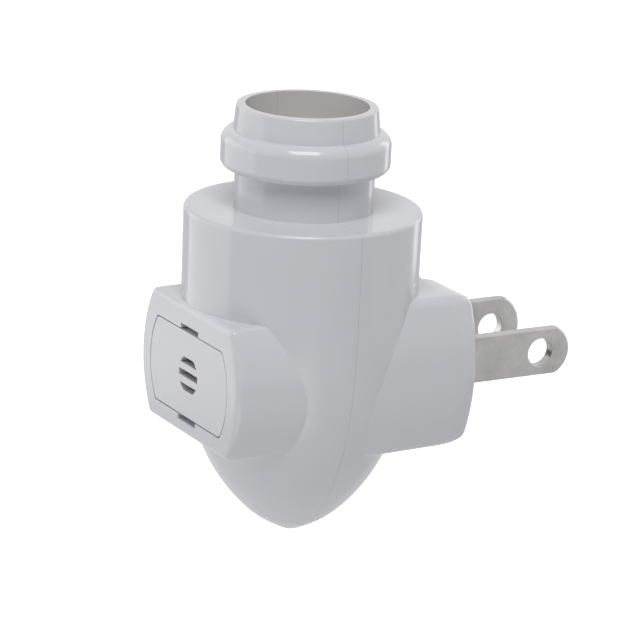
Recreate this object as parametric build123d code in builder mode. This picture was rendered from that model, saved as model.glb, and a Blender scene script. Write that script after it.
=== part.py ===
"""Plug-in lamp holder with a light sensor: a small bullet-shaped housing in two moulded halves,
a collared neck with a screw socket on top, a sensor box in front and a two-blade plug behind.

Millimetres. +Z runs up the lamp's axis, +Y points at the wall outlet and -Y at the sensor.
The origin is on the lamp's axis, level with the shoulder that the neck stands on.
"""
import os
from math import pi, sin, sqrt, tan

from build123d import *

os.makedirs("parts", exist_ok=True)

# Housing
body_radius = 15.55
body_draft = 0.05
shell_wall = 1.6
shoulder_round = 0.5
cylinder_foot = -9.3
nose_tip = -44.2
nose_fullness = 2.95
nose_roundness = 1.48

# Neck, with the collar that a shade's clip grips
neck_radius = 9.1
neck_wall = 1.05
ring_radius = 11.05
ring_foot = 5.2
ring_height = 5.0
ring_top_round = 1.5
ring_foot_round = 1.05
rim_height = 3.3
rim_foot_radius = 9.5
rim_radius = 9.2
rim_round = 0.3

# Screw socket
lamp_thread_radius = 6.1
socket_metal = 0.35
socket_length = 10.3
socket_lip_radius = 7.3
mouth_depth = 6.0
ledge_thickness = 1.2
floor_thickness = 1.4

# Contacts in the socket
base_radius = 8.2
base_thickness = 1.8
base_cup_radius = 5.5
base_cup_depth = 2.0
base_seat = 1.4
base_collar = 1.6
leaf_width = 3.2
leaf_metal = 0.4
leaf_rise = 1.4
leaf_crest = 1.0
rivet_offset = 3.4
rivet_radius = 0.8
rivet_head_radius = 1.3
rivet_head_height = 0.4
tab_width = 3.0
tab_length = 7.0

# Sensor box and its cover, about the level of the slots
sensor_level = -21.25
sensor_standout = 0.5
sensor_top = 9.05
sensor_foot = 8.3
sensor_end_half = 11.0
sensor_middle_half = 13.6
sensor_corner = 0.9
sensor_edge_round = 0.9
sensor_draft = 1.0
cover_half_height = 5.65
cover_end_half = 8.95
cover_middle_half = 10.75
cover_corner = 0.8
cover_thickness = 1.2
cover_ledge = 0.8
cover_ledge_thickness = 1.0
slot_height = 0.9
slot_pitch = 1.8
slot_field_radius = 2.6
latch_width = 4.9
latch_gap = 0.85
latch_thickness = 0.9
latch_catch = 0.45
latch_pocket = 1.2

# Plug box, about the level of the blades
plug_level = -21.5
plug_standout = 4.45
plug_top = 11.15
plug_foot = 9.9
plug_end_half = 12.3
plug_middle_half = 14.5
plug_corner = 1.9
plug_edge_round = 1.4
plug_draft = 1.0
plug_wall = 2.0
plug_trough_half = 3.8
plug_trough_depth = 1.1
plug_trough_round = 1.0

# Plug blades
blade_spacing = 12.7
blade_thickness = 1.5
line_blade_height = 6.35
neutral_blade_height = 7.9
blade_reach = 18.3
blade_tip_share = 0.57
blade_tip_edge = 0.25
blade_hole_radius = 1.9
blade_hole_from_tip = 4.7
blade_foot_length = 4.2
blade_bend = 0.8
stake_inset = 1.5
stake_radius = 0.9
stake_head_radius = 1.5
stake_head_height = 0.8
stake_drop = 1.3

# Circuit board and what it carries
board_width = 20.2
board_height = 10.8
board_corner = 2.2
board_thickness = 1.2
board_standoff = 4.3
post_radius = 1.1
post_pin_radius = 0.55
post_x = 8.7
post_z = 3.0
post_pin_reach = 0.5
sensor_disc_radius = 2.55
sensor_disc_thickness = 2.1
sensor_lead_pitch = 3.4
sensor_disc_gap = 0.6
lead_radius = 0.3
diode_radius = 1.35
diode_length = 5.2
diode_pitch = 6.4
diode_column = 3.9
resistor_radius = 1.15
resistor_length = 5.6
thyristor_radius = 2.3
thyristor_flat = 1.2
thyristor_length = 4.6
thyristor_lead_pitch = 1.27
thyristor_lift = 1.6
part_lift = 0.3
lead_end = 0.2
upper_row = 3.7
middle_row = 0.5
lower_row = -3.1

# Wires
wire_radius = 0.65
wire_entry_x = 8.9
wire_entry_row = -1.1
wire_straight = 5.2
wire_drop = 3.5
wire_joint_side = 0.8
wire_joint_rise = 0.3

# Pegs that register the two halves
peg_radius = 0.9
peg_length = 2.2
peg_boss_radius = 2.1
peg_boss_length = 6.0
peg_boss_sink = 0.6
peg_level = -4.0

# Clearances
fit_gap = 0.1
cover_gap = 0.15
seat_gap = 0.05
pin_gap = 0.1

body_foot_radius = body_radius - body_draft
sensor_face = body_radius + sensor_standout
plug_face = body_radius + plug_standout
ring_top = ring_foot + ring_height
rim_top = ring_top + rim_height
neck_bore = neck_radius - neck_wall
ledge_top = rim_top - mouth_depth
ledge_foot = ledge_top - ledge_thickness
socket_radius = lamp_thread_radius + socket_metal
socket_foot = ledge_top - socket_length
base_rim_top = socket_foot - seat_gap
base_top = base_rim_top - base_cup_depth
base_foot = base_top - base_thickness
floor_top = base_foot - seat_gap
floor_foot = floor_top - floor_thickness
cavity_radius = body_foot_radius - shell_wall
collar_radius = base_radius + fit_gap + shell_wall

sensor_top_z = sensor_level + sensor_top
sensor_foot_z = sensor_level - sensor_foot
plug_top_z = plug_level + plug_top
plug_foot_z = plug_level - plug_foot
plug_inside = plug_face - plug_wall
cover_back = sensor_face - cover_thickness
ledge_back = cover_back - seat_gap - cover_ledge_thickness
board_front = ledge_back - board_standoff
board_back = board_front - board_thickness
blade_tip = plug_face + blade_reach
blade_x = blade_spacing / 2
blade_foot_y = plug_inside - seat_gap - blade_thickness / 2
stake_x = blade_x - blade_foot_length + stake_inset
stake_reach = blade_thickness + 2 * seat_gap
foot_front = blade_foot_y - blade_thickness / 2
tab_foot = socket_foot - tab_length
sensor_disc_back = cover_back - sensor_disc_gap - sensor_disc_thickness
latch_reach = cover_half_height + latch_gap + latch_catch


def nose_radius(depth, radius, tip):
    """Radius of the housing's nose at a depth below the straight part, a rounded bullet."""
    share = min(depth / (cylinder_foot - tip), 1)
    return radius * (1 - share**nose_fullness) ** (1 / nose_roundness)


def nose_points(radius, tip, count=9):
    """Points down the nose from its straight part, closer together towards the tip."""
    drop = cylinder_foot - tip
    depths = [drop * sin(pi / 2 * step / count) for step in range(1, count)]
    return [(nose_radius(depth, radius, tip), cylinder_foot - depth) for depth in depths]


def barrel(plane, top, foot, end_half, middle_half, corner):
    """A flat-topped outline with bowed sides, on a plane whose x is the object's X and y its Z."""
    with BuildSketch(plane) as outline:
        with BuildLine():
            Line((-end_half, top), (end_half, top))
            ThreePointArc((end_half, top), (middle_half, (top + foot) / 2), (end_half, foot))
            Line((end_half, foot), (-end_half, foot))
            ThreePointArc((-end_half, foot), (-middle_half, (top + foot) / 2), (-end_half, top))
        make_face()
        fillet(outline.vertices(), corner)
    return outline.sketch


def front_plane(distance):
    """A plane that faces the sensor side, this far in front of the lamp's axis."""
    return Plane.XZ.offset(distance)


# Half section of the housing, from the nose up the outside to the rim
with BuildSketch(Plane.XZ) as housing_section:
    with BuildLine():
        Line((0, nose_tip), (0, rim_top))
        Line((0, rim_top), (rim_radius, rim_top))
        Line((rim_radius, rim_top), (rim_foot_radius, ring_top))
        Line((rim_foot_radius, ring_top), (ring_radius, ring_top))
        Line((ring_radius, ring_top), (ring_radius, ring_foot))
        Line((ring_radius, ring_foot), (neck_radius, ring_foot))
        Line((neck_radius, ring_foot), (neck_radius, 0))
        Line((neck_radius, 0), (body_radius, 0))
        Line((body_radius, 0), (body_foot_radius, cylinder_foot))
        Spline(
            [
                (body_foot_radius, cylinder_foot),
                *nose_points(body_foot_radius, nose_tip),
                (0, nose_tip),
            ],
            tangents=[(-body_draft, cylinder_foot), (-1, 0)],
        )
    make_face()
    fillet(housing_section.vertices().group_by(Axis.Y)[-1].sort_by(Axis.X)[-1], rim_round)
    ring_corners = housing_section.vertices().filter_by_position(Axis.X, ring_radius, ring_radius)
    fillet(ring_corners.sort_by(Axis.Y)[-1], ring_top_round)
    ring_corners = housing_section.vertices().filter_by_position(Axis.X, ring_radius, ring_radius)
    fillet(ring_corners.sort_by(Axis.Y)[0], ring_foot_round)

# What is hollow: the mouth, the bore through the ledge, the socket's room and the lower room
with BuildSketch(Plane.XZ) as hollow_section:
    with BuildLine():
        Line((0, rim_top), (neck_bore, rim_top))
        Line((neck_bore, rim_top), (neck_bore, ledge_top))
        Line((neck_bore, ledge_top), (socket_radius + fit_gap, ledge_top))
        Line((socket_radius + fit_gap, ledge_top), (socket_radius + fit_gap, ledge_foot))
        Line((socket_radius + fit_gap, ledge_foot), (neck_bore, ledge_foot))
        Line((neck_bore, ledge_foot), (neck_bore, -shell_wall))
        Line((neck_bore, -shell_wall), (cavity_radius, -shell_wall))
        Line((cavity_radius, -shell_wall), (cavity_radius, floor_top))
        Line((cavity_radius, floor_top), (collar_radius, floor_top))
        Line((collar_radius, floor_top), (collar_radius, floor_top + base_collar))
        Line((collar_radius, floor_top + base_collar), (base_radius + fit_gap, floor_top + base_collar))
        Line((base_radius + fit_gap, floor_top + base_collar), (base_radius + fit_gap, floor_top))
        Line((base_radius + fit_gap, floor_top), (base_radius - base_seat, floor_top))
        Line((base_radius - base_seat, floor_top), (base_radius - base_seat, floor_foot))
        Line((base_radius - base_seat, floor_foot), (cavity_radius, floor_foot))
        Line((cavity_radius, floor_foot), (cavity_radius, cylinder_foot))
        Spline(
            [
                (cavity_radius, cylinder_foot),
                *nose_points(cavity_radius, nose_tip + shell_wall),
                (0, nose_tip + shell_wall),
            ],
            tangents=[(0, -1), (-1, 0)],
        )
        Line((0, nose_tip + shell_wall), (0, rim_top))
    make_face()

sensor_box = barrel(
    front_plane(sensor_face),
    sensor_top_z,
    sensor_foot_z,
    sensor_end_half,
    sensor_middle_half,
    sensor_corner,
)
sensor_room = barrel(
    front_plane(ledge_back),
    sensor_top_z - shell_wall,
    sensor_foot_z + shell_wall,
    sensor_end_half - shell_wall,
    sensor_middle_half - shell_wall,
    sensor_corner,
)
cover_opening = barrel(
    front_plane(cover_back - seat_gap),
    sensor_level + cover_half_height + cover_gap,
    sensor_level - cover_half_height - cover_gap,
    cover_end_half + cover_gap,
    cover_middle_half + cover_gap,
    cover_corner,
)
cover_window = barrel(
    front_plane(ledge_back),
    sensor_level + cover_half_height - cover_ledge,
    sensor_level - cover_half_height + cover_ledge,
    cover_end_half - cover_ledge,
    cover_middle_half - cover_ledge,
    cover_corner,
)
cover_outline = barrel(
    front_plane(cover_back),
    sensor_level + cover_half_height,
    sensor_level - cover_half_height,
    cover_end_half,
    cover_middle_half,
    cover_corner,
)
plug_box = barrel(Plane.XZ, plug_top_z, plug_foot_z, plug_end_half, plug_middle_half, plug_corner)
plug_room = barrel(
    Plane.XZ,
    plug_top_z - plug_trough_depth - shell_wall,
    plug_foot_z + shell_wall,
    plug_end_half - shell_wall,
    plug_middle_half - shell_wall,
    plug_corner,
)

# Round bosses on the split plane, sunk a little into the body's wall, for the pegs
peg_x = cavity_radius - peg_boss_radius + peg_boss_sink
peg_points = [
    (peg_x, peg_level),
    (-peg_x, peg_level),
    (0, nose_tip + shell_wall + 2 * peg_boss_radius),
]


# Front half of the housing, with the sensor box
with BuildPart() as front_shell:
    extrude(sensor_box, amount=-sensor_face, taper=-sensor_draft)
    fillet(front_shell.faces().sort_by(Axis.Y)[0].edges(), sensor_edge_round)
    revolve(housing_section.sketch, Axis.Z)
    circles = front_shell.edges().filter_by(GeomType.CIRCLE)
    fillet(circles.filter_by(lambda edge: edge.radius == body_radius).sort_by(Axis.Z)[-1], shoulder_round)
    extrude(sensor_room, amount=-ledge_back, taper=-sensor_draft, mode=Mode.SUBTRACT)
    revolve(hollow_section.sketch, Axis.Z, mode=Mode.SUBTRACT)
    extrude(cover_opening, amount=cover_thickness + body_radius, mode=Mode.SUBTRACT)
    extrude(cover_window, amount=cover_ledge_thickness + body_radius, mode=Mode.SUBTRACT)
    with BuildSketch(front_plane(ledge_back - latch_pocket)):
        with Locations((0, sensor_level)):
            Rectangle(latch_width, 2 * (cover_half_height + latch_gap))
    extrude(amount=body_radius, mode=Mode.SUBTRACT)
    with BuildSketch(front_plane(ledge_back - latch_pocket)):
        with Locations((0, sensor_level)):
            Rectangle(latch_width, 2 * latch_reach + fit_gap)
    extrude(amount=latch_pocket, mode=Mode.SUBTRACT)
    with BuildSketch(front_plane(board_front)):
        with Locations((0, sensor_level)):
            with GridLocations(2 * post_x, 2 * post_z, 2, 2):
                Circle(post_radius)
    extrude(amount=board_standoff + cover_ledge_thickness / 2)
    with BuildSketch(front_plane(board_back - post_pin_reach)):
        with Locations((0, sensor_level)):
            with GridLocations(2 * post_x, 2 * post_z, 2, 2):
                Circle(post_pin_radius)
    extrude(amount=board_thickness + 2 * post_pin_reach)
    split(bisect_by=Plane.XZ, keep=Keep.TOP)
    with BuildSketch(Plane.XZ):
        with Locations(*peg_points):
            Circle(peg_boss_radius)
    extrude(amount=peg_boss_length)
    with BuildSketch(Plane.XZ):
        with Locations(*peg_points):
            Circle(peg_radius + pin_gap)
    extrude(amount=peg_length + pin_gap, mode=Mode.SUBTRACT)
front_shell.part.label = "front_shell"
export_step(front_shell.part, "parts/front_shell.step")

# Rear half of the housing, with the plug box and the posts that hold the blades
with BuildPart() as rear_shell:
    extrude(plug_box, amount=-plug_face, taper=plug_draft)
    with BuildSketch(Plane.XZ) as trough:
        with BuildLine():
            Polyline(
                (-plug_trough_half, plug_top_z),
                (0, plug_top_z - plug_trough_depth),
                (plug_trough_half, plug_top_z),
                close=True,
            )
        make_face()
        fillet(trough.vertices().sort_by(Axis.Y)[0], plug_trough_round)
    extrude(amount=-2 * plug_face, mode=Mode.SUBTRACT)
    fillet(rear_shell.faces().sort_by(Axis.Y)[-1].edges(), plug_edge_round)
    revolve(housing_section.sketch, Axis.Z)
    circles = rear_shell.edges().filter_by(GeomType.CIRCLE)
    fillet(circles.filter_by(lambda edge: edge.radius == body_radius).sort_by(Axis.Z)[-1], shoulder_round)
    extrude(plug_room, amount=-plug_inside, mode=Mode.SUBTRACT)
    revolve(hollow_section.sketch, Axis.Z, mode=Mode.SUBTRACT)
    with BuildSketch(front_plane(-plug_inside)):
        with Locations((blade_x, plug_level)):
            Rectangle(blade_thickness + fit_gap, line_blade_height + fit_gap)
        with Locations((-blade_x, plug_level)):
            Rectangle(blade_thickness + fit_gap, neutral_blade_height + fit_gap)
    extrude(amount=-2 * plug_wall, mode=Mode.SUBTRACT)
    with BuildSketch(front_plane(-plug_inside)):
        with Locations((stake_x, plug_level - stake_drop), (-stake_x, plug_level - stake_drop)):
            Circle(stake_radius)
    extrude(amount=stake_reach)
    with BuildSketch(front_plane(-plug_inside + stake_reach)):
        with Locations((stake_x, plug_level - stake_drop), (-stake_x, plug_level - stake_drop)):
            Circle(stake_head_radius)
    extrude(amount=stake_head_height)
    split(bisect_by=Plane.XZ, keep=Keep.BOTTOM)
    with BuildSketch(Plane.XZ):
        with Locations(*peg_points):
            Circle(peg_boss_radius)
    extrude(amount=-peg_boss_length)
    with BuildSketch(Plane.XZ):
        with Locations(*peg_points):
            Circle(peg_radius)
    extrude(amount=peg_length)
rear_shell.part.label = "rear_shell"
export_step(rear_shell.part, "parts/rear_shell.step")

# Slotted cover over the light sensor, with a snap hook at its top and bottom edges
with BuildPart() as sensor_cover:
    extrude(cover_outline, amount=cover_thickness)
    with BuildSketch(front_plane(ledge_back - latch_thickness - seat_gap)):
        with Locations((0, sensor_level)):
            Rectangle(latch_width - 2 * cover_gap, 2 * cover_half_height)
            Rectangle(latch_width, 2 * (cover_half_height - latch_thickness), mode=Mode.SUBTRACT)
    extrude(until=Until.NEXT)
    with BuildSketch(front_plane(ledge_back - latch_thickness - seat_gap)):
        with Locations((0, sensor_level)):
            Rectangle(latch_width - 2 * cover_gap, 2 * latch_reach)
            Rectangle(latch_width, 2 * (cover_half_height - latch_thickness), mode=Mode.SUBTRACT)
    extrude(amount=latch_thickness)
    with BuildSketch(front_plane(cover_back)):
        with Locations((0, sensor_level)):
            with GridLocations(0, slot_pitch, 1, 3):
                Rectangle(3 * slot_field_radius, slot_height)
            Circle(slot_field_radius, mode=Mode.INTERSECT)
    extrude(amount=cover_thickness, mode=Mode.SUBTRACT)
sensor_cover.part.label = "sensor_cover"
export_step(sensor_cover.part, "parts/sensor_cover.step")

# Brass screw shell, hung by its rolled lip in the neck, with a solder tab below
with BuildPart() as screw_shell:
    with BuildSketch(Plane.XZ):
        with BuildLine():
            Polyline(
                (lamp_thread_radius, socket_foot),
                (socket_radius, socket_foot),
                (socket_radius, ledge_top + seat_gap),
                (socket_lip_radius, ledge_top + seat_gap),
                (socket_lip_radius, ledge_top + seat_gap + socket_metal),
                (lamp_thread_radius, ledge_top + seat_gap + socket_metal),
                close=True,
            )
        make_face()
    revolve(axis=Axis.Z)
    with BuildSketch(Plane.XY.offset(socket_foot - tab_length)):
        with Locations((-(socket_radius + lamp_thread_radius) / 2, 0)):
            Rectangle(socket_metal, tab_width)
    extrude(amount=tab_length + tab_width)
    with BuildSketch(Plane.XY.offset(socket_foot)):
        Circle(lamp_thread_radius)
    extrude(amount=2 * tab_width, mode=Mode.SUBTRACT)
screw_shell.part.label = "screw_shell"
export_step(screw_shell.part, "parts/screw_shell.step")

# Cup-shaped base under the screw shell, with a slot for its tab and a hole for the rivet
with BuildPart() as contact_base:
    with BuildSketch(Plane.XY.offset(base_foot)):
        Circle(base_radius)
        with Locations((rivet_offset, 0)):
            Circle(rivet_radius + fit_gap / 2, mode=Mode.SUBTRACT)
        with Locations((-(socket_radius + lamp_thread_radius) / 2, 0)):
            Rectangle(socket_metal + 2 * fit_gap, tab_width + 2 * fit_gap, mode=Mode.SUBTRACT)
    extrude(amount=base_thickness + base_cup_depth)
    with BuildSketch(Plane.XY.offset(base_top)):
        Circle(base_cup_radius)
    extrude(amount=base_cup_depth, mode=Mode.SUBTRACT)
contact_base.part.label = "contact_base"
export_step(contact_base.part, "parts/contact_base.step")

# Springy centre contact: a flat strip that rises from its rivet to the lamp's axis
leaf_level = base_top + leaf_metal / 2
with BuildPart() as centre_contact:
    with BuildSketch(Plane.XZ):
        with BuildLine():
            FilletPolyline(
                (rivet_offset + leaf_width / 2, leaf_level),
                (rivet_offset - leaf_width / 2, leaf_level),
                (leaf_crest, leaf_level + leaf_rise),
                (-leaf_crest, leaf_level + leaf_rise),
                (-2 * leaf_crest, leaf_level + leaf_rise / 2),
                radius=leaf_metal,
            )
        trace(line_width=leaf_metal)
    extrude(amount=leaf_width / 2, both=True)
    with BuildSketch(Plane.XY.offset(base_top)):
        with Locations((rivet_offset, 0)):
            Circle(rivet_radius + fit_gap / 2)
    extrude(amount=leaf_rise, mode=Mode.SUBTRACT)
centre_contact.part.label = "centre_contact"
export_step(centre_contact.part, "parts/centre_contact.step")

# Rivet through the leaf and the base
with BuildPart() as contact_rivet:
    with BuildSketch(Plane.XY.offset(base_foot - rivet_head_height)):
        with Locations((rivet_offset, 0)):
            Circle(rivet_head_radius)
    extrude(amount=rivet_head_height)
    with BuildSketch(Plane.XY.offset(base_foot)):
        with Locations((rivet_offset, 0)):
            Circle(rivet_radius)
    extrude(amount=base_thickness + leaf_metal)
    with BuildSketch(Plane.XY.offset(base_top + leaf_metal)):
        with Locations((rivet_offset, 0)):
            Circle(rivet_head_radius)
    extrude(amount=rivet_head_height)
contact_rivet.part.label = "contact_rivet"
export_step(contact_rivet.part, "parts/contact_rivet.step")


def blade_side(height):
    """A blade seen from the side: rounded tip, square inner end and the hole near the tip."""
    half = height / 2
    tip_radius = blade_tip_share * height
    tip_drop = tip_radius - sqrt(tip_radius**2 - half**2)
    with BuildSketch(Plane.YZ) as side:
        with BuildLine():
            Line((0, plug_level - half), (blade_tip - tip_drop, plug_level - half))
            ThreePointArc(
                (blade_tip - tip_drop, plug_level - half),
                (blade_tip, plug_level),
                (blade_tip - tip_drop, plug_level + half),
            )
            Line((blade_tip - tip_drop, plug_level + half), (0, plug_level + half))
            Line((0, plug_level + half), (0, plug_level - half))
        make_face()
        with Locations((blade_tip - blade_hole_from_tip, plug_level)):
            Circle(blade_hole_radius, mode=Mode.SUBTRACT)
    return side.sketch


line_side = blade_side(line_blade_height)
neutral_side = blade_side(neutral_blade_height)

# Folded plug blades: each foot lies on the plug box's rear wall and is staked there
with BuildPart() as line_blade:
    with BuildSketch(Plane.XY.offset(plug_level - neutral_blade_height)):
        with BuildLine():
            FilletPolyline(
                (blade_x - blade_foot_length, blade_foot_y),
                (blade_x, blade_foot_y),
                (blade_x, blade_tip + blade_thickness),
                radius=blade_bend,
            )
        trace(line_width=blade_thickness)
    extrude(amount=2 * neutral_blade_height)
    extrude(line_side, amount=2 * blade_x, mode=Mode.INTERSECT)
    with BuildSketch(front_plane(-plug_inside)):
        with Locations((stake_x, plug_level - stake_drop)):
            Circle(stake_radius + fit_gap / 2)
    extrude(amount=2 * blade_thickness, mode=Mode.SUBTRACT)
    tip = line_blade.faces().sort_by(Axis.Y)[-1]
    chamfer(tip.edges().filter_by(GeomType.CIRCLE), blade_tip_edge)
line_blade.part.label = "line_blade"
export_step(line_blade.part, "parts/line_blade.step")

with BuildPart() as neutral_blade:
    with BuildSketch(Plane.XY.offset(plug_level - neutral_blade_height)):
        with BuildLine():
            FilletPolyline(
                (blade_foot_length - blade_x, blade_foot_y),
                (-blade_x, blade_foot_y),
                (-blade_x, blade_tip + blade_thickness),
                radius=blade_bend,
            )
        trace(line_width=blade_thickness)
    extrude(amount=2 * neutral_blade_height)
    extrude(neutral_side, amount=-2 * blade_x, mode=Mode.INTERSECT)
    with BuildSketch(front_plane(-plug_inside)):
        with Locations((-stake_x, plug_level - stake_drop)):
            Circle(stake_radius + fit_gap / 2)
    extrude(amount=2 * blade_thickness, mode=Mode.SUBTRACT)
    tip = neutral_blade.faces().sort_by(Axis.Y)[-1]
    chamfer(tip.edges().filter_by(GeomType.CIRCLE), blade_tip_edge)
neutral_blade.part.label = "neutral_blade"
export_step(neutral_blade.part, "parts/neutral_blade.step")

# Where the parts on the board stand, as (x, height above the sensor level, radius, length)
axial_places = {
    "rectifier_diode_1": (-diode_column, upper_row, diode_radius, diode_length),
    "rectifier_diode_2": (diode_column, upper_row, diode_radius, diode_length),
    "rectifier_diode_3": (-diode_column, middle_row, diode_radius, diode_length),
    "rectifier_diode_4": (diode_column, middle_row, diode_radius, diode_length),
    "gate_resistor": (diode_column, lower_row, resistor_radius, resistor_length),
}
thyristor_place = (-diode_column, lower_row)
axial_holes = [
    (x + side * diode_pitch / 2, sensor_level + row)
    for x, row, radius, length in axial_places.values()
    for side in (-1, 1)
]
thyristor_holes = [
    (thyristor_place[0] + step * thyristor_lead_pitch, sensor_level + thyristor_place[1])
    for step in (-1, 0, 1)
]
sensor_holes = [(side * sensor_lead_pitch / 2, sensor_level) for side in (-1, 1)]

# Circuit board on the front shell's four posts
with BuildPart() as circuit_board:
    with BuildSketch(front_plane(board_back)) as board_outline:
        with Locations((0, sensor_level)):
            Rectangle(board_width, board_height)
        chamfer(board_outline.vertices(), board_corner)
        with Locations((0, sensor_level)):
            with GridLocations(2 * post_x, 2 * post_z, 2, 2):
                Circle(post_pin_radius + fit_gap, mode=Mode.SUBTRACT)
        with Locations(*axial_holes, *thyristor_holes, *sensor_holes):
            Circle(lead_radius + fit_gap, mode=Mode.SUBTRACT)
    extrude(amount=board_thickness)
circuit_board.part.label = "circuit_board"
export_step(circuit_board.part, "parts/circuit_board.step")

# Light sensor: a disc behind the cover's slots, on two leads
with BuildPart() as light_sensor:
    with BuildSketch(front_plane(sensor_disc_back)):
        with Locations((0, sensor_level)):
            Circle(sensor_disc_radius)
    extrude(amount=sensor_disc_thickness)
    with BuildSketch(front_plane(board_back - lead_end)):
        with Locations(*sensor_holes):
            Circle(lead_radius)
    extrude(amount=sensor_disc_back - board_back + 2 * lead_end)
light_sensor.part.label = "light_sensor"
export_step(light_sensor.part, "parts/light_sensor.step")

# Thyristor: a round body with one flat side, on three leads
with BuildPart() as thyristor:
    with BuildSketch(front_plane(board_back - thyristor_lift - thyristor_length)):
        with Locations((thyristor_place[0], sensor_level + thyristor_place[1])):
            Circle(thyristor_radius)
            with Locations((0, -thyristor_radius - thyristor_flat)):
                Rectangle(2 * thyristor_radius, 2 * thyristor_radius, mode=Mode.SUBTRACT)
    extrude(amount=thyristor_length)
    with BuildSketch(front_plane(board_back - thyristor_lift - lead_end)):
        with Locations(*thyristor_holes):
            Circle(lead_radius)
    extrude(amount=thyristor_lift + board_thickness + 2 * lead_end)
thyristor.part.label = "thyristor"
export_step(thyristor.part, "parts/thyristor.step")

# Diodes and a resistor lie along the board's back, each on one bent lead through its body
for name, (x, row, radius, length) in axial_places.items():
    level = sensor_level + row
    centre_y = -board_back + part_lift + radius
    with BuildPart() as axial_part:
        with BuildLine() as lead:
            FilletPolyline(
                (x - diode_pitch / 2, -board_front - lead_end, level),
                (x - diode_pitch / 2, centre_y, level),
                (x + diode_pitch / 2, centre_y, level),
                (x + diode_pitch / 2, -board_front - lead_end, level),
                radius=2 * lead_radius,
            )
        with BuildSketch(Plane(lead.line @ 0, z_dir=lead.line % 0)):
            Circle(lead_radius)
        sweep()
        with BuildSketch(Plane.YZ.offset(x - length / 2)):
            with Locations((centre_y, level)):
                Circle(radius)
        extrude(amount=length)
    axial_part.part.label = name
    export_step(axial_part.part, f"parts/{name}.step")


def corner_radius(before, corner, after):
    """The largest easy bend at a corner of a wire's route."""
    incoming = Vector(corner) - Vector(before)
    outgoing = Vector(after) - Vector(corner)
    half_turn = incoming.get_angle(outgoing) / 2 * pi / 180
    return 0.45 * min(incoming.length, outgoing.length) / tan(half_turn)


# Wires: mains to the board, board to the centre contact, and screw shell to mains
joint_x = stake_x + wire_joint_side
joint_y = foot_front - seat_gap
joint_z = plug_level + stake_drop + wire_joint_rise
entry_z = sensor_level + wire_entry_row
tab_x = -(socket_radius + lamp_thread_radius) / 2
rivet_foot = base_foot - rivet_head_height - seat_gap
wire_routes = {
    "line_wire": [
        (wire_entry_x, -board_back, entry_z),
        (wire_entry_x, -board_back + wire_straight, entry_z),
        (joint_x, joint_y - wire_straight, joint_z),
        (joint_x, joint_y, joint_z),
    ],
    "neutral_wire": [
        (tab_x, 0, tab_foot - seat_gap),
        (tab_x, 0, tab_foot - wire_drop),
        (-joint_x, joint_y - wire_straight, joint_z),
        (-joint_x, joint_y, joint_z),
    ],
    "lamp_wire": [
        (rivet_offset, 0, rivet_foot),
        (rivet_offset, 0, rivet_foot - wire_drop),
        (-wire_entry_x, -board_back + wire_straight, entry_z),
        (-wire_entry_x, -board_back, entry_z),
    ],
}
for name, points in wire_routes.items():
    bends = [corner_radius(*points[at - 1 : at + 2]) for at in range(1, len(points) - 1)]
    with BuildPart() as wire:
        with BuildLine() as route:
            FilletPolyline(*points, radius=bends)
        with BuildSketch(Plane(route.line @ 0, z_dir=route.line % 0)):
            Circle(wire_radius)
        sweep()
    wire.part.label = name
    export_step(wire.part, f"parts/{name}.step")
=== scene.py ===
import math

import bmesh
import bpy
from mathutils import Matrix, Vector


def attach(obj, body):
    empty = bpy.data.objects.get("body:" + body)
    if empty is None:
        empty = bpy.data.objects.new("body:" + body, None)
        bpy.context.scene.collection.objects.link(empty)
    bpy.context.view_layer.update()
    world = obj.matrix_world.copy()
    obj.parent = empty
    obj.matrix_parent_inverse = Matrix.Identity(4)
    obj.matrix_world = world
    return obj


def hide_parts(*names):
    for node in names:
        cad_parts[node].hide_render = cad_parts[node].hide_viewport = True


# Plug-in lamp holder: a glossy two-part housing with a collared screw socket on top,
# a slotted sensor cover in front and two plated blades behind.
# Blender works in metres and radians. The lengths written here are millimetres and the angles degrees.
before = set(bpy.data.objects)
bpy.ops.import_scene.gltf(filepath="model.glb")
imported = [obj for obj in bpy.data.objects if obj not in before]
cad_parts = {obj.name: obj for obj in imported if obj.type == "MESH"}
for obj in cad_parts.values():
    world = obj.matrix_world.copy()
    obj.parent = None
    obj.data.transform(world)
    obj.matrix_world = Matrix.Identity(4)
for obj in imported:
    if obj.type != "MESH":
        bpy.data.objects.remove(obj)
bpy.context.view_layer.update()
mm = 0.001
white = (1.0, 1.0, 1.0)

for spare in ("Cube", "Light", "Camera"):
    if spare in bpy.data.objects:
        bpy.data.objects.remove(bpy.data.objects[spare])
print("frame loaded,", len(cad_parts), "nodes")


# An input whose default is a single number is a value, and any other is a vector
def startGroup(name, inputs, outputs):
    group = bpy.data.node_groups.new(name, "ShaderNodeTree")
    for label, value in inputs.items():
        kind = "NodeSocketFloat" if isinstance(value, float) else "NodeSocketVector"
        socket = group.interface.new_socket(name=label, in_out="INPUT", socket_type=kind)
        socket.default_value = value
    for label in outputs:
        group.interface.new_socket(name=label, in_out="OUTPUT", socket_type="NodeSocketFloat")
    return group, group.nodes.new("NodeGroupInput"), group.nodes.new("NodeGroupOutput")


def addMath(tree, operation, first, second=None, clamp=False):
    node = tree.nodes.new("ShaderNodeMath")
    node.operation = operation
    node.use_clamp = clamp
    for socket, value in zip(node.inputs, (first, second)):
        if value is None:
            continue
        if isinstance(value, (int, float)):
            socket.default_value = value
        else:
            tree.links.new(value, socket)
    return node.outputs[0]


def addNoise(tree, place, scale, detail):
    node = tree.nodes.new("ShaderNodeTexNoise")
    node.inputs["Detail"].default_value = detail
    tree.links.new(place, node.inputs["Vector"])
    tree.links.new(scale, node.inputs["Scale"])
    return node.outputs["Fac"]


# How far a point stands from the middle plane of one axis
def addDistance(tree, place, axis):
    split = tree.nodes.new("ShaderNodeSeparateXYZ")
    tree.links.new(place, split.inputs[0])
    return addMath(tree, "ABSOLUTE", split.outputs[axis])


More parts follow.
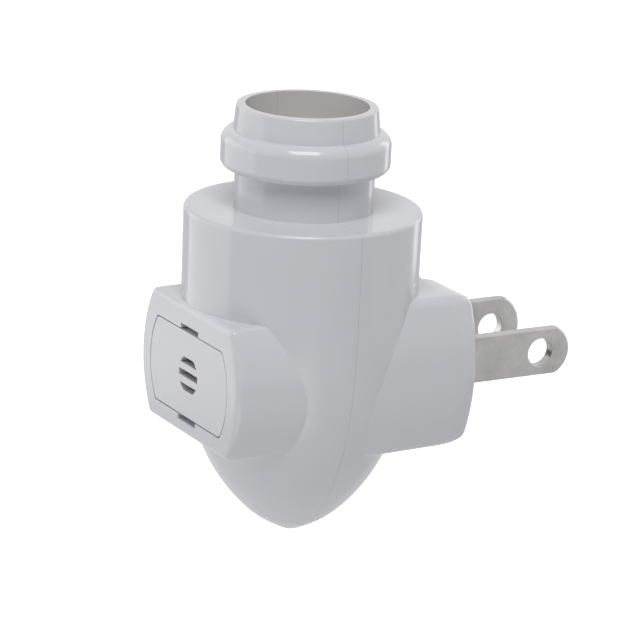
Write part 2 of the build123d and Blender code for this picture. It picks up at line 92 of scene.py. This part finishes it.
noiseDetail = {"cloud": 3.0, "grain": 2.0, "scratch": 4.0}
origin = (0.0, 0.0, 0.0)


# Cloudy and fine variation of a moulded or pressed surface
def makeMottle():
    group, inside, outside = startGroup(
        "surfaceMottle",
        {"Vector": origin, "Cloud Scale": 120.0, "Grain Scale": 2500.0, "Grain Share": 0.4},
        ("Mask", "Grain"),
    )
    place, link = inside.outputs["Vector"], group.links.new
    cloud = addNoise(group, place, inside.outputs["Cloud Scale"], noiseDetail["cloud"])
    grain = addNoise(group, place, inside.outputs["Grain Scale"], noiseDetail["grain"])
    mix = group.nodes.new("ShaderNodeMix")
    link(inside.outputs["Grain Share"], mix.inputs["Factor"])
    link(cloud, mix.inputs["A"])
    link(grain, mix.inputs["B"])
    link(mix.outputs["Result"], outside.inputs["Mask"])
    link(grain, outside.inputs["Grain"])
    return group


# Long fine scratches, drawn out along the axis whose share of Stretch is small
def makeScratches():
    group, inside, outside = startGroup(
        "drawnScratches",
        {"Vector": origin, "Stretch": (1.0, 0.04, 1.0), "Scale": 3000.0, "Sharpness": 3.0},
        ("Mask",),
    )
    stretch = group.nodes.new("ShaderNodeVectorMath")
    stretch.operation = "MULTIPLY"
    group.links.new(inside.outputs["Vector"], stretch.inputs[0])
    group.links.new(inside.outputs["Stretch"], stretch.inputs[1])
    noise = addNoise(group, stretch.outputs[0], inside.outputs["Scale"], noiseDetail["scratch"])
    lines = addMath(group, "POWER", noise, inside.outputs["Sharpness"])
    group.links.new(lines, outside.inputs["Mask"])
    return group


# Thin groove where the two halves of the housing meet, on the plane Y = 0; its mask carries the groove's
# bump and its painted shade
def makeSeam():
    group, inside, outside = startGroup("mouldSeam", {"Vector": origin, "Half Width": 0.06 * mm}, ("Mask",))
    away = addDistance(group, inside.outputs["Vector"], "Y")
    share = addMath(group, "DIVIDE", away, inside.outputs["Half Width"])
    group.links.new(addMath(group, "SUBTRACT", 1.0, share, clamp=True), outside.inputs["Mask"])
    return group


# A stripe round a part that lies along X, to the left or right of the lamp's axis: Column is how far
# the part's centre stands from that axis, and Middle how far the stripe stands from the part's centre
def makeStripe():
    group, inside, outside = startGroup(
        "stripeAcross",
        {"Vector": origin, "Column": 0.0, "Middle": 0.0, "Half Width": 1.0 * mm},
        ("Mask",),
    )
    side = addDistance(group, inside.outputs["Vector"], "X")
    local = addMath(group, "SUBTRACT", side, inside.outputs["Column"])
    away = addMath(group, "ABSOLUTE", addMath(group, "SUBTRACT", local, inside.outputs["Middle"]))
    group.links.new(addMath(group, "LESS_THAN", away, inside.outputs["Half Width"]), outside.inputs["Mask"])
    return group


mottleGroup = makeMottle()
scratchGroup = makeScratches()
seamGroup = makeSeam()
stripeGroup = makeStripe()


def startMaterial(name):
    material = bpy.data.materials.new(name)
    material.use_nodes = True
    tree = material.node_tree
    tree.nodes.clear()
    output = tree.nodes.new("ShaderNodeOutputMaterial")
    shader = tree.nodes.new("ShaderNodeBsdfPrincipled")
    place = tree.nodes.new("ShaderNodeTexCoord")
    tree.links.new(shader.outputs[0], output.inputs["Surface"])
    return material, tree, shader, place.outputs["Object"]


def placeGroup(tree, group, place, values):
    node = tree.nodes.new("ShaderNodeGroup")
    node.node_tree = group
    for label, value in values.items():
        node.inputs[label].default_value = value
    tree.links.new(place, node.inputs["Vector"])
    return node


def mixColours(tree, factor, first, second):
    node = tree.nodes.new("ShaderNodeMix")
    node.data_type = "RGBA"
    tree.links.new(factor, node.inputs["Factor"])
    for socket, value in ((node.inputs["A"], first), (node.inputs["B"], second)):
        if isinstance(value, tuple):
            socket.default_value = (*value, 1.0)
        else:
            tree.links.new(value, socket)
    return node.outputs["Result"]


def spread(tree, value, low, high):
    node = tree.nodes.new("ShaderNodeMapRange")
    node.inputs["To Min"].default_value = low
    node.inputs["To Max"].default_value = high
    tree.links.new(value, node.inputs["Value"])
    return node.outputs["Result"]


def addBump(tree, shader, height, strength, distance):
    bump = tree.nodes.new("ShaderNodeBump")
    bump.inputs["Strength"].default_value = strength
    bump.inputs["Distance"].default_value = distance
    tree.links.new(height, bump.inputs["Height"])
    tree.links.new(bump.outputs["Normal"], shader.inputs["Normal"])


# The seam darkens the colour with painted shade of the gap between the halves and cuts its groove into the
# height
def addSeam(tree, place, colour, height, seam):
    groove = placeGroup(tree, seamGroup, place, {"Half Width": seam["halfWidth"] * mm})
    line = groove.outputs["Mask"]
    colour = mixColours(tree, addMath(tree, "MULTIPLY", line, seam["strength"]), colour, seam["paintedGapShade"])
    height = addMath(tree, "SUBTRACT", height, addMath(tree, "MULTIPLY", line, seam["depth"]))
    return colour, height


def addStripe(tree, place, column, middle, halfWidth):
    values = {"Column": column * mm, "Middle": middle * mm, "Half Width": halfWidth * mm}
    return placeGroup(tree, stripeGroup, place, values).outputs["Mask"]


# Bands painted round a component's sleeve, with tinned metal past the ends of the sleeve
def addSleeve(tree, place, shader, colour, sleeve):
    for middle, halfWidth, paint in sleeve["bands"]:
        band = addStripe(tree, place, sleeve["column"], middle, halfWidth)
        colour = mixColours(tree, band, colour, paint)
    covered = addStripe(tree, place, sleeve["column"], 0.0, sleeve["halfLength"])
    tree.links.new(addMath(tree, "SUBTRACT", 1.0, covered), shader.inputs["Metallic"])
    return mixColours(tree, covered, sleeve["wire"], colour)


def makeFinish(look):
    material, tree, shader, place = startMaterial(look["name"])
    mottle = placeGroup(tree, mottleGroup, place, look["mottle"])
    colour = mixColours(tree, mottle.outputs["Mask"], look["shade"], look["tint"])
    rough = spread(tree, mottle.outputs["Mask"], *look["roughness"])
    height = mottle.outputs["Grain"]
    shader.inputs["Metallic"].default_value = look.get("metallic", 0.0)
    if "scratches" in look:
        height = placeGroup(tree, scratchGroup, place, look["scratches"]).outputs["Mask"]
        dulled = addMath(tree, "MULTIPLY", height, look["scratchRough"])
        rough = addMath(tree, "ADD", rough, dulled, clamp=True)
    if "wave" in look:
        swell = addMath(tree, "MULTIPLY", mottle.outputs["Mask"], look["wave"])
        height = addMath(tree, "ADD", height, swell)
    if "seam" in look:
        colour, height = addSeam(tree, place, colour, height, look["seam"])
    if "sleeve" in look:
        colour = addSleeve(tree, place, shader, colour, look["sleeve"])
    tree.links.new(colour, shader.inputs["Base Color"])
    tree.links.new(rough, shader.inputs["Roughness"])
    addBump(tree, shader, height, look["bump"], look["bumpDepth"] * mm)
    return material


# Each finish runs from shade to tint and between two roughnesses as its mottle goes from 0 to 1.
# wave is how much of the mottle's cloud goes into the bump, beside its fine grain.
housingLook = {
    "name": "glossyHousing", "shade": (0.67, 0.672, 0.705), "tint": (0.71, 0.712, 0.745),
    "mottle": {"Cloud Scale": 90.0, "Grain Scale": 1800.0, "Grain Share": 0.06}, "roughness": (0.11, 0.17),
    "bump": 0.05, "bumpDepth": 0.02, "wave": 22.0,
    # The seam's dark colour is painted shade standing in for the shadow in the gap between the halves
    "seam": {"halfWidth": 0.05, "strength": 0.45, "depth": 3.0, "paintedGapShade": (0.24, 0.235, 0.24)},
}
coverLook = {
    "name": "glossyCover", "shade": (0.675, 0.68, 0.71), "tint": (0.715, 0.72, 0.75),
    "mottle": {"Cloud Scale": 110.0, "Grain Scale": 1800.0, "Grain Share": 0.35}, "roughness": (0.16, 0.24),
    "bump": 0.06, "bumpDepth": 0.02,
}
bladeLook = {
    "name": "platedBlade", "shade": (0.30, 0.295, 0.285), "tint": (0.60, 0.595, 0.58),
    "mottle": {"Cloud Scale": 330.0, "Grain Scale": 2600.0, "Grain Share": 0.25}, "roughness": (0.20, 0.36),
    "scratches": {"Stretch": (1.0, 0.05, 1.0), "Scale": 2400.0, "Sharpness": 3.0}, "scratchRough": 0.35,
    "bump": 0.25, "bumpDepth": 0.02, "metallic": 1.0,
}
brassLook = {
    "name": "rolledBrass", "shade": (0.60, 0.42, 0.17), "tint": (0.78, 0.58, 0.27),
    "mottle": {"Cloud Scale": 220.0, "Grain Scale": 2400.0, "Grain Share": 0.3}, "roughness": (0.20, 0.38),
    "scratches": {"Stretch": (1.0, 1.0, 0.06), "Scale": 2000.0, "Sharpness": 3.0}, "scratchRough": 0.25,
    "bump": 0.2, "bumpDepth": 0.015, "metallic": 1.0,
}
fibreLook = {
    "name": "pressedFibre", "shade": (0.46, 0.39, 0.28), "tint": (0.62, 0.55, 0.42),
    "mottle": {"Cloud Scale": 400.0, "Grain Scale": 3000.0, "Grain Share": 0.6}, "roughness": (0.60, 0.85),
    "bump": 0.5, "bumpDepth": 0.03,
}
boardLook = {
    "name": "phenolicBoard", "shade": (0.30, 0.18, 0.075), "tint": (0.42, 0.27, 0.12),
    "mottle": {"Cloud Scale": 300.0, "Grain Scale": 2600.0, "Grain Share": 0.5}, "roughness": (0.40, 0.60),
    "scratches": {"Stretch": (0.08, 1.0, 1.0), "Scale": 1800.0, "Sharpness": 2.0}, "scratchRough": 0.2,
    "bump": 0.3, "bumpDepth": 0.02,
}
blackLook = {
    "name": "blackEpoxy", "shade": (0.018, 0.018, 0.020), "tint": (0.035, 0.035, 0.038),
    "mottle": {"Cloud Scale": 300.0, "Grain Scale": 3200.0, "Grain Share": 0.6}, "roughness": (0.38, 0.55),
    "bump": 0.4, "bumpDepth": 0.02,
}
photocellLook = {
    "name": "photocellFace", "shade": (0.30, 0.17, 0.11), "tint": (0.42, 0.26, 0.18),
    "mottle": {"Cloud Scale": 350.0, "Grain Scale": 3000.0, "Grain Share": 0.5}, "roughness": (0.25, 0.40),
    "bump": 0.2, "bumpDepth": 0.02,
}
wireMottle = {"Cloud Scale": 250.0, "Grain Scale": 2500.0, "Grain Share": 0.4}
whiteWireLook = {
    "name": "whiteInsulation", "shade": (0.66, 0.66, 0.65), "tint": (0.72, 0.72, 0.71),
    "mottle": wireMottle, "roughness": (0.35, 0.50), "bump": 0.2, "bumpDepth": 0.02,
}
blackWireLook = {
    "name": "blackInsulation", "shade": (0.020, 0.020, 0.020), "tint": (0.035, 0.035, 0.035),
    "mottle": wireMottle, "roughness": (0.35, 0.50), "bump": 0.2, "bumpDepth": 0.02,
}

# The diodes and the resistor have a sleeve between two tinned wires. A band is the place of its middle
# from the component's centre, half its width and its paint.
tinned = (0.62, 0.62, 0.60)
diodeLook = {
    "name": "diodeSleeve", "shade": (0.018, 0.018, 0.020), "tint": (0.035, 0.035, 0.038),
    "mottle": {"Cloud Scale": 300.0, "Grain Scale": 3200.0, "Grain Share": 0.6}, "roughness": (0.30, 0.45),
    "bump": 0.3, "bumpDepth": 0.02,
    "sleeve": {"column": 3.9, "halfLength": 2.62, "wire": tinned, "bands": (
        (1.75, 0.35, (0.58, 0.58, 0.58)),
    )},
}
resistorLook = {
    "name": "resistorCoat", "shade": (0.52, 0.40, 0.22), "tint": (0.62, 0.50, 0.30),
    "mottle": {"Cloud Scale": 300.0, "Grain Scale": 2800.0, "Grain Share": 0.4}, "roughness": (0.28, 0.40),
    "bump": 0.3, "bumpDepth": 0.02,
    "sleeve": {"column": 3.9, "halfLength": 2.82, "wire": tinned, "bands": (
        (-1.9, 0.25, (0.17, 0.065, 0.025)), (-1.0, 0.25, (0.02, 0.02, 0.02)),
        (-0.1, 0.25, (0.62, 0.19, 0.04)), (1.7, 0.25, (0.50, 0.36, 0.12)),
    )},
}
finishes = {
    look["name"]: makeFinish(look)
    for look in (housingLook, coverLook, bladeLook, brassLook, fibreLook, boardLook, blackLook,
                 photocellLook, whiteWireLook, blackWireLook, diodeLook, resistorLook)
}
print("materials made,", len(finishes))

# The ends of the peg bosses lie flush in the outside of the wall, whose radius grows upwards by its draft
bossEnds = {"level": -4.0, "halfHeight": 2.6, "side": 12.5, "radius": 15.55, "draft": 0.05, "drop": 9.3}


def flushBosses(mesh):
    for corner in mesh.verts:
        x, y, z = (value / mm for value in corner.co)
        wall = bossEnds["radius"] + bossEnds["draft"] * z / bossEnds["drop"]
        reach = math.hypot(x, y)
        isBoss = abs(z - bossEnds["level"]) < bossEnds["halfHeight"] and abs(x) > bossEnds["side"]
        if isBoss and reach > wall:
            corner.co.x *= wall / reach
            corner.co.y *= wall / reach


# The plug box's outer edges are rounder than its walls' own fillets. Loops are cut through its walls, and
# the rim then draws in along Y, from start to face, by a share of a quarter circle.
plugSoftness = {
    "level": -21.5, "start": 15.2, "face": 20.0, "share": 0.28, "loops": 5, "steps": 7, "nearest": 0.001,
    "rimX": 9.5, "rimZ": 7.5, "halfWidth": 14.0, "halfHeight": 10.5,
}


def softenPlugBox(mesh):
    reach = plugSoftness["face"] - plugSoftness["start"]
    for loop in range(plugSoftness["loops"]):
        cut = plugSoftness["start"] + reach * loop / plugSoftness["steps"]
        whole = mesh.verts[:] + mesh.edges[:] + mesh.faces[:]
        bmesh.ops.bisect_plane(mesh, geom=whole, dist=plugSoftness["nearest"] * mm,
                               plane_co=(0, cut * mm, 0), plane_no=(0, 1, 0))
    for corner in mesh.verts:
        x, y, z = (value / mm for value in corner.co)
        z -= plugSoftness["level"]
        along = y - plugSoftness["start"]
        if along <= 0 or (abs(x) < plugSoftness["rimX"] and abs(z) < plugSoftness["rimZ"]):
            continue
        pull = plugSoftness["share"] * (reach - math.sqrt(max(reach**2 - along**2, 0)))
        corner.co.x *= 1 - pull / plugSoftness["halfWidth"]
        corner.co.z -= z * pull / plugSoftness["halfHeight"] * mm


# The housing's corner normals: true ones where a face belongs to a surface turned about the lamp's axis,
# and elsewhere the mean of the neighbours within the crease, with the large faces counting most
turned = {"outerRadius": 15.6, "sideways": 0.06, "crease": 25.0}


def describeFace(data, face):
    out = Vector((face.center.x, face.center.y, 0)).normalized()
    sideways = abs(face.normal.dot(Vector((-out.y, out.x, 0))))
    widest = max(data.vertices[index].co.xy.length for index in face.vertices)
    return {
        "normal": face.normal, "area": face.area, "radial": face.normal.dot(out), "upright": face.normal.z,
        "isTurned": sideways < turned["sideways"] and widest < turned["outerRadius"] * mm,
    }


def shadeTurned(data):
    crease = math.cos(math.radians(turned["crease"]))
    faces = [describeFace(data, face) for face in data.polygons]
    around = [[] for corner in data.vertices]
    for face, facts in zip(data.polygons, faces):
        for index in face.vertices:
            around[index].append(facts)
    normals = []
    for face, own in zip(data.polygons, faces):
        for index in face.vertices:
            near = [other for other in around[index]
                    if other["isTurned"] == own["isTurned"] and other["normal"].dot(own["normal"]) > crease]
            if own["isTurned"]:
                out = Vector((*data.vertices[index].co.xy, 0)).normalized()
                radial = sum(other["radial"] * other["area"] for other in near)
                upright = sum(other["upright"] * other["area"] for other in near)
                normal = out * radial + Vector((0, 0, upright))
            else:
                normal = sum((other["normal"] * other["area"] for other in near), Vector())
            normals.append(normal.normalized())
    data.normals_split_custom_set(normals)


housingShells = ("front_shell", "rear_shell")


def finishPiece(mesh, name, finish, crease, node=None):
    data = bpy.data.meshes.new(name)
    mesh.to_mesh(data)
    mesh.free()
    data.materials.append(finishes[finish])
    data.shade_smooth()
    data.set_sharp_from_angle(angle=math.radians(crease))
    piece = bpy.data.objects.new(name, data)
    bpy.context.scene.collection.objects.link(piece)
    if node in housingShells:
        shadeTurned(data)
    else:
        evenNormals = piece.modifiers.new("evenNormals", "WEIGHTED_NORMAL")
        evenNormals.keep_sharp = True
    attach(piece, "root")
    if node:
        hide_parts(node)


# How a solid's copy is welded and its sharp edges are found, and how wide the edges of some are rounded
copyRules = {"weld": 0.002, "flat": 0.5, "sharp": 25.0, "segments": 2}
edgeWidths = {"sensor_cover": 0.05, "line_blade": 0.12, "neutral_blade": 0.12}


def roundEdges(mesh, width):
    bmesh.ops.dissolve_limit(mesh, angle_limit=math.radians(copyRules["flat"]), verts=mesh.verts[:],
                             edges=mesh.edges[:])
    sharp = [line for line in mesh.edges
             if len(line.link_faces) == 2 and line.calc_face_angle() > math.radians(copyRules["sharp"])]
    bmesh.ops.bevel(mesh, geom=sharp, offset=width * mm, offset_type="OFFSET", affect="EDGES",
                    segments=copyRules["segments"], profile=0.5, material=-1)


def carryOver(node, finish):
    mesh = bmesh.new()
    mesh.from_mesh(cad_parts[node].data)
    bmesh.ops.remove_doubles(mesh, verts=mesh.verts[:], dist=copyRules["weld"] * mm)
    if node in housingShells:
        flushBosses(mesh)
    if node == "rear_shell":
        softenPlugBox(mesh)
    if node in edgeWidths:
        roundEdges(mesh, edgeWidths[node])
    finishPiece(mesh, node + "Piece", finish, copyRules["sharp"], node)


# The finish and the material slot of each solid
solids = {
    "front_shell": ("glossyHousing", "housing"),
    "rear_shell": ("glossyHousing", "housing"),
    "sensor_cover": ("glossyCover", "cover"),
    "screw_shell": ("rolledBrass", "socket_metal"),
    "contact_base": ("pressedFibre", "base_fibre"),
    "centre_contact": ("rolledBrass", "socket_metal"),
    "contact_rivet": ("rolledBrass", "socket_metal"),
    "line_blade": ("platedBlade", "blade"),
    "neutral_blade": ("platedBlade", "blade"),
    "circuit_board": ("phenolicBoard", "board"),
    "light_sensor": ("photocellFace", "photocell"),
    "thyristor": ("blackEpoxy", "black_epoxy"),
    "rectifier_diode_1": ("diodeSleeve", "black_epoxy"),
    "rectifier_diode_2": ("diodeSleeve", "black_epoxy"),
    "rectifier_diode_3": ("diodeSleeve", "black_epoxy"),
    "rectifier_diode_4": ("diodeSleeve", "black_epoxy"),
    "gate_resistor": ("resistorCoat", "resistor_coat"),
    "line_wire": ("blackInsulation", "black_insulation"),
    "neutral_wire": ("whiteInsulation", "white_insulation"),
    "lamp_wire": ("blackInsulation", "black_insulation"),
}
for node, (finish, slot) in solids.items():
    carryOver(node, finish)
print("pieces made,", len(solids))

# The screw shell's rolled thread, an oval ridge that stands a little into its bore
socketThread = {
    "radius": 6.08, "pitch": 2.54, "foot": -1.4, "turns": 3, "stepsPerTurn": 48,
    "stand": 0.36, "halfHeight": 0.75, "sides": 12, "crease": 50.0,
}


def makeThread():
    mesh = bmesh.new()
    bmesh.ops.create_circle(mesh, cap_ends=False, segments=socketThread["sides"], radius=1.0)
    upright = Matrix.Rotation(math.radians(90), 3, "X")
    oval = (socketThread["stand"] * mm, 1, socketThread["halfHeight"] * mm)
    start = (socketThread["radius"] * mm, 0, socketThread["foot"] * mm)
    bmesh.ops.rotate(mesh, verts=mesh.verts[:], cent=(0, 0, 0), matrix=upright)
    bmesh.ops.scale(mesh, verts=mesh.verts[:], vec=oval)
    bmesh.ops.translate(mesh, verts=mesh.verts[:], vec=start)
    rise = socketThread["pitch"] * mm / socketThread["stepsPerTurn"]
    bmesh.ops.spin(mesh, geom=mesh.verts[:] + mesh.edges[:], cent=(0, 0, 0), axis=(0, 0, 1),
                   dvec=(0, 0, rise), angle=math.radians(360 * socketThread["turns"]),
                   steps=socketThread["turns"] * socketThread["stepsPerTurn"], use_merge=False)
    ends = [line for line in mesh.edges if line.is_boundary]
    bmesh.ops.holes_fill(mesh, edges=ends)
    bmesh.ops.recalc_face_normals(mesh, faces=mesh.faces[:])
    finishPiece(mesh, "socketThread", "rolledBrass", socketThread["crease"])


makeThread()
print("thread rolled")

# A paper floor far below the nose. It shines a little near the part, where it keeps the shadow, and
# more from there out, as far as twice the shadow's radius.
floorLook = {
    "name": "paperFloor", "shade": (0.86, 0.86, 0.86), "tint": (0.90, 0.90, 0.90), "roughness": 0.9,
    "mottle": {"Cloud Scale": 20.0, "Grain Scale": 400.0, "Grain Share": 0.3},
    "drop": 110.0, "size": 2400.0, "shadowRadius": 130.0,
    "nearShine": 0.35, "farShine": 0.95, "mirrored": 0.4,
}


# 1 for what the camera sees straight, and a share of it for what metal and glass show
def seenDirectly(tree, mirrored=1.0):
    path = tree.nodes.new("ShaderNodeLightPath")
    indirect = addMath(tree, "MAXIMUM", path.outputs["Is Glossy Ray"], path.outputs["Is Transmission Ray"])
    share = addMath(tree, "MULTIPLY", indirect, mirrored)
    return addMath(tree, "MAXIMUM", path.outputs["Is Camera Ray"], share)


def makePaper():
    material, tree, shader, place = startMaterial(floorLook["name"])
    mottle = placeGroup(tree, mottleGroup, place, floorLook["mottle"])
    colour = mixColours(tree, mottle.outputs["Mask"], floorLook["shade"], floorLook["tint"])
    away = tree.nodes.new("ShaderNodeVectorMath")
    away.operation = "LENGTH"
    tree.links.new(place, away.inputs[0])
    glow = tree.nodes.new("ShaderNodeMapRange")
    glow.inputs["From Min"].default_value = floorLook["shadowRadius"] * mm
    glow.inputs["From Max"].default_value = 2 * floorLook["shadowRadius"] * mm
    glow.inputs["To Min"].default_value = floorLook["nearShine"]
    glow.inputs["To Max"].default_value = floorLook["farShine"]
    tree.links.new(away.outputs["Value"], glow.inputs["Value"])
    shine = addMath(tree, "MULTIPLY", seenDirectly(tree, floorLook["mirrored"]), glow.outputs["Result"])
    shader.inputs["Roughness"].default_value = floorLook["roughness"]
    shader.inputs["Emission Color"].default_value = (*white, 1.0)
    tree.links.new(colour, shader.inputs["Base Color"])
    tree.links.new(shine, shader.inputs["Emission Strength"])
    return material


def makeFloor():
    mesh = bmesh.new()
    bmesh.ops.create_grid(mesh, x_segments=1, y_segments=1, size=floorLook["size"] * mm / 2)
    bmesh.ops.translate(mesh, verts=mesh.verts[:], vec=(0, 0, -floorLook["drop"] * mm))
    data = bpy.data.meshes.new("floor")
    mesh.to_mesh(data)
    mesh.free()
    data.materials.append(makePaper())
    floor = bpy.data.objects.new("floor", data)
    bpy.context.scene.collection.objects.link(floor)


makeFloor()

# The room's cool light on the part, and what the camera and reflections see of the room
worldLook = {"light": (0.93, 0.95, 1.0), "strength": 0.20, "seen": white, "seenStrength": 1.0}


def addBackground(tree, colour, strength):
    node = tree.nodes.new("ShaderNodeBackground")
    node.inputs["Color"].default_value = (*colour, 1.0)
    node.inputs["Strength"].default_value = strength
    return node.outputs[0]


def makeWorld():
    world = bpy.data.worlds.new("studio")
    bpy.context.scene.world = world
    world.use_nodes = True
    tree = world.node_tree
    tree.nodes.clear()
    output = tree.nodes.new("ShaderNodeOutputWorld")
    mix = tree.nodes.new("ShaderNodeMixShader")
    tree.links.new(seenDirectly(tree), mix.inputs["Fac"])
    tree.links.new(addBackground(tree, worldLook["light"], worldLook["strength"]), mix.inputs[1])
    tree.links.new(addBackground(tree, worldLook["seen"], worldLook["seenStrength"]), mix.inputs[2])
    tree.links.new(mix.outputs[0], output.inputs["Surface"])


makeWorld()

# Soft lamps with their power in watts; the narrow edge lamp draws the streak down the housing's right side
lamps = {
    "topLamp": {"place": (150, -87, 280), "aim": (0, 0, 0), "width": 180, "height": 180, "power": 0.64},
    "leftLamp": {"place": (-150, -160, 0), "aim": (0, 0, -20), "width": 300, "height": 200, "power": 0.20},
    "lowLamp": {"place": (80, -60, -100), "aim": (0, 0, -30), "width": 120, "height": 100, "power": 0.033},
    "rightLamp": {"place": (42, 196, 20), "aim": (0, 0, -20), "width": 300, "height": 240, "power": 0.10},
    "edgeLamp": {"place": (-68, 188, 17), "aim": (0, 0, -20), "width": 50, "height": 166, "power": 0.03},
}


def makeLamp(name, lamp):
    light = bpy.data.lights.new(name, "AREA")
    light.shape = "RECTANGLE"
    light.size = lamp["width"] * mm
    light.size_y = lamp["height"] * mm
    light.energy = lamp["power"]
    place, aim = Vector(lamp["place"]) * mm, Vector(lamp["aim"]) * mm
    holder = bpy.data.objects.new(name, light)
    holder.location = place
    holder.rotation_mode = "QUATERNION"
    holder.rotation_quaternion = (aim - place).to_track_quat("-Z", "Y")
    holder.visible_camera = False
    bpy.context.scene.collection.objects.link(holder)


for name, lamp in lamps.items():
    makeLamp(name, lamp)

# Where the photograph was taken from. The focal length and the optical centre are in pixels of its
# square frame.
viewpoint = {
    "azimuth": 59.913, "elevation": 16.251, "roll": 2.631, "eye": (366.44, -208.15, 107.5),
    "frameSide": 640, "focalPixels": 3350.6, "centre": (325.827, 320.676),
    "sensor": 36.0, "nearest": 50.0, "farthest": 10000.0,
}


def makeCamera():
    turn, lift, roll = (math.radians(viewpoint[key]) for key in ("azimuth", "elevation", "roll"))
    back = Vector((math.sin(turn) * math.cos(lift), -math.cos(turn) * math.cos(lift), math.sin(lift)))
    right = Vector((math.cos(turn), math.sin(turn), 0))
    up = back.cross(right)
    rolledRight = right * math.cos(roll) + up * math.sin(roll)
    rolledUp = up * math.cos(roll) - right * math.sin(roll)
    side, sensor = viewpoint["frameSide"], viewpoint["sensor"]
    data = bpy.data.cameras.new("camera")
    data.sensor_width = sensor  # a camera's sensor and lens are in millimetres in Blender too
    data.lens = sensor * viewpoint["focalPixels"] / side
    data.shift_x = (side / 2 - viewpoint["centre"][0]) / side
    data.shift_y = (viewpoint["centre"][1] - side / 2) / side
    data.clip_start = viewpoint["nearest"] * mm
    data.clip_end = viewpoint["farthest"] * mm
    camera = bpy.data.objects.new("camera", data)
    facing = Matrix((rolledRight, rolledUp, back)).transposed().to_4x4()
    camera.matrix_world = Matrix.Translation(Vector(viewpoint["eye"]) * mm) @ facing
    bpy.context.scene.collection.objects.link(camera)
    bpy.context.scene.camera = camera


makeCamera()
bpy.context.scene.view_settings.view_transform = "Standard"
print("stage, lamps and camera made")
